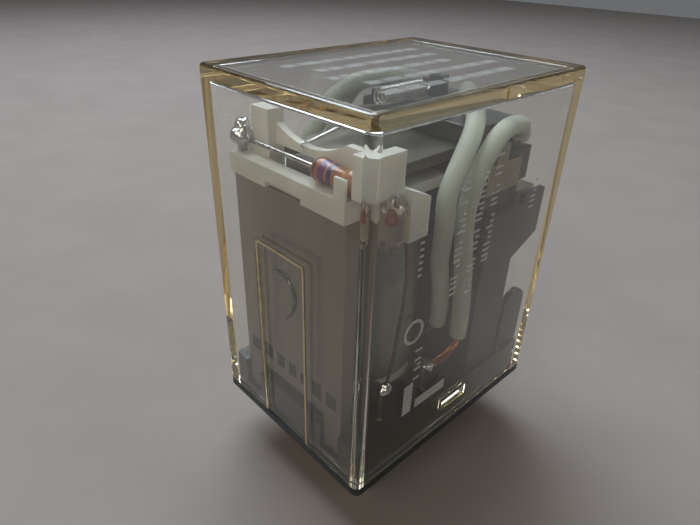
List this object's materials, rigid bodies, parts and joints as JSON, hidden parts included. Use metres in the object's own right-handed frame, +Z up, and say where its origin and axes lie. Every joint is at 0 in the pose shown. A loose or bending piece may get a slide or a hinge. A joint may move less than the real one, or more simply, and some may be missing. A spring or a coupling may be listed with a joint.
{
  "type": "plug-in control relay",
  "caption": "Miniature plug-in control relay: clear cover over a coil, yoke, armature and changeover contacts, with flat blade terminals.",
  "frame": {"origin": "centre of the underside of the base, on the face that seats in a socket", "axes": "+X along the long side from the yoke end to the contact end, +Y across the poles, +Z up from the blades to the top of the cover"},
  "size_m": [0.028, 0.0216, 0.0424],
  "materials": {
    "base_moulding": "moulded, satin black",
    "frame_moulding": "moulded, dark grey",
    "yoke_steel": "plated, satin, slightly aged",
    "core_iron": "turned and plated",
    "bobbin_nylon": "moulded, cream white",
    "enamelled_copper": "enamelled wire",
    "coil_tape": "grey tape",
    "plated_brass": "tin plated, dull",
    "contact_silver": "silver, satin",
    "tinned_wire": "tinned",
    "solder": "bright solder",
    "resistor_lacquer": "lacquered, colour banded",
    "lamp_red": "clear resin with a faint red tint",
    "armature_iron": "plated, dull",
    "block_moulding": "moulded, dark grey",
    "spring_bronze": "rolled bronze",
    "lead_brass": "plated, dull",
    "spring_steel": "drawn wire",
    "sleeve_plastic": "soft extruded sleeve, pale green white",
    "copper_braid": "stranded copper",
    "clear_polycarbonate": "clear, yellowed with age"
  },
  "bodies": {
    "relay": {"base": "base_moulding", "contact_frame": "frame_moulding", "yoke": "yoke_steel", "core": "core_iron", "bobbin": "bobbin_nylon", "coil_winding": "enamelled_copper", "coil_tape": "coil_tape", "closed_contacts": "contact_silver", "open_contacts": "contact_silver", "resistor": "resistor_lacquer", "resistor_lead": "tinned_wire", "indicator_lamp": "lamp_red", "lamp_leads": "tinned_wire", "solder_joints": "solder", "return_spring": "spring_steel", "closed_terminal_1": "plated_brass", "open_terminal_1": "plated_brass", "common_terminal_1": "plated_brass", "sleeve_1": "sleeve_plastic", "braid_1": "copper_braid", "closed_terminal_2": "plated_brass", "open_terminal_2": "plated_brass", "common_terminal_2": "plated_brass", "sleeve_2": "sleeve_plastic", "braid_2": "copper_braid", "closed_terminal_3": "plated_brass", "open_terminal_3": "plated_brass", "common_terminal_3": "plated_brass", "sleeve_3": "sleeve_plastic", "braid_3": "copper_braid", "closed_terminal_4": "plated_brass", "open_terminal_4": "plated_brass", "common_terminal_4": "plated_brass", "sleeve_4": "sleeve_plastic", "braid_4": "copper_braid", "coil_terminal_1": "plated_brass", "coil_post_1": "tinned_wire", "coil_lead_1": "enamelled_copper", "coil_terminal_2": "plated_brass", "coil_post_2": "tinned_wire", "coil_lead_2": "enamelled_copper"},
    "armature": {"armature": "armature_iron", "movable_block": "block_moulding", "moving_contacts": "contact_silver", "lead_plate_1": "lead_brass", "lead_plate_2": "lead_brass", "moving_spring_1": "spring_bronze", "moving_spring_2": "spring_bronze", "moving_spring_3": "spring_bronze", "moving_spring_4": "spring_bronze"},
    "cover": {"cover": "clear_polycarbonate"}
  },
  "joints": [
    {"name": "armature_hinge", "type": "hinge", "parent": "relay", "child": "armature", "pos_m": [-0.0103, 0, 0.0283], "axis": [0, 1, 0], "range_deg": [0, 2.4], "stiffness_Nm_per_rad": 0.008, "springref_deg": -14.32, "deforming": ["return_spring", "sleeve_1", "braid_1", "sleeve_2", "braid_2", "sleeve_3", "braid_3", "sleeve_4", "braid_4"]},
    {"name": "cover_lift", "type": "slide", "parent": "relay", "child": "cover", "axis": [0, 0, 1], "range_m": [0, 0.04]}
  ]
}
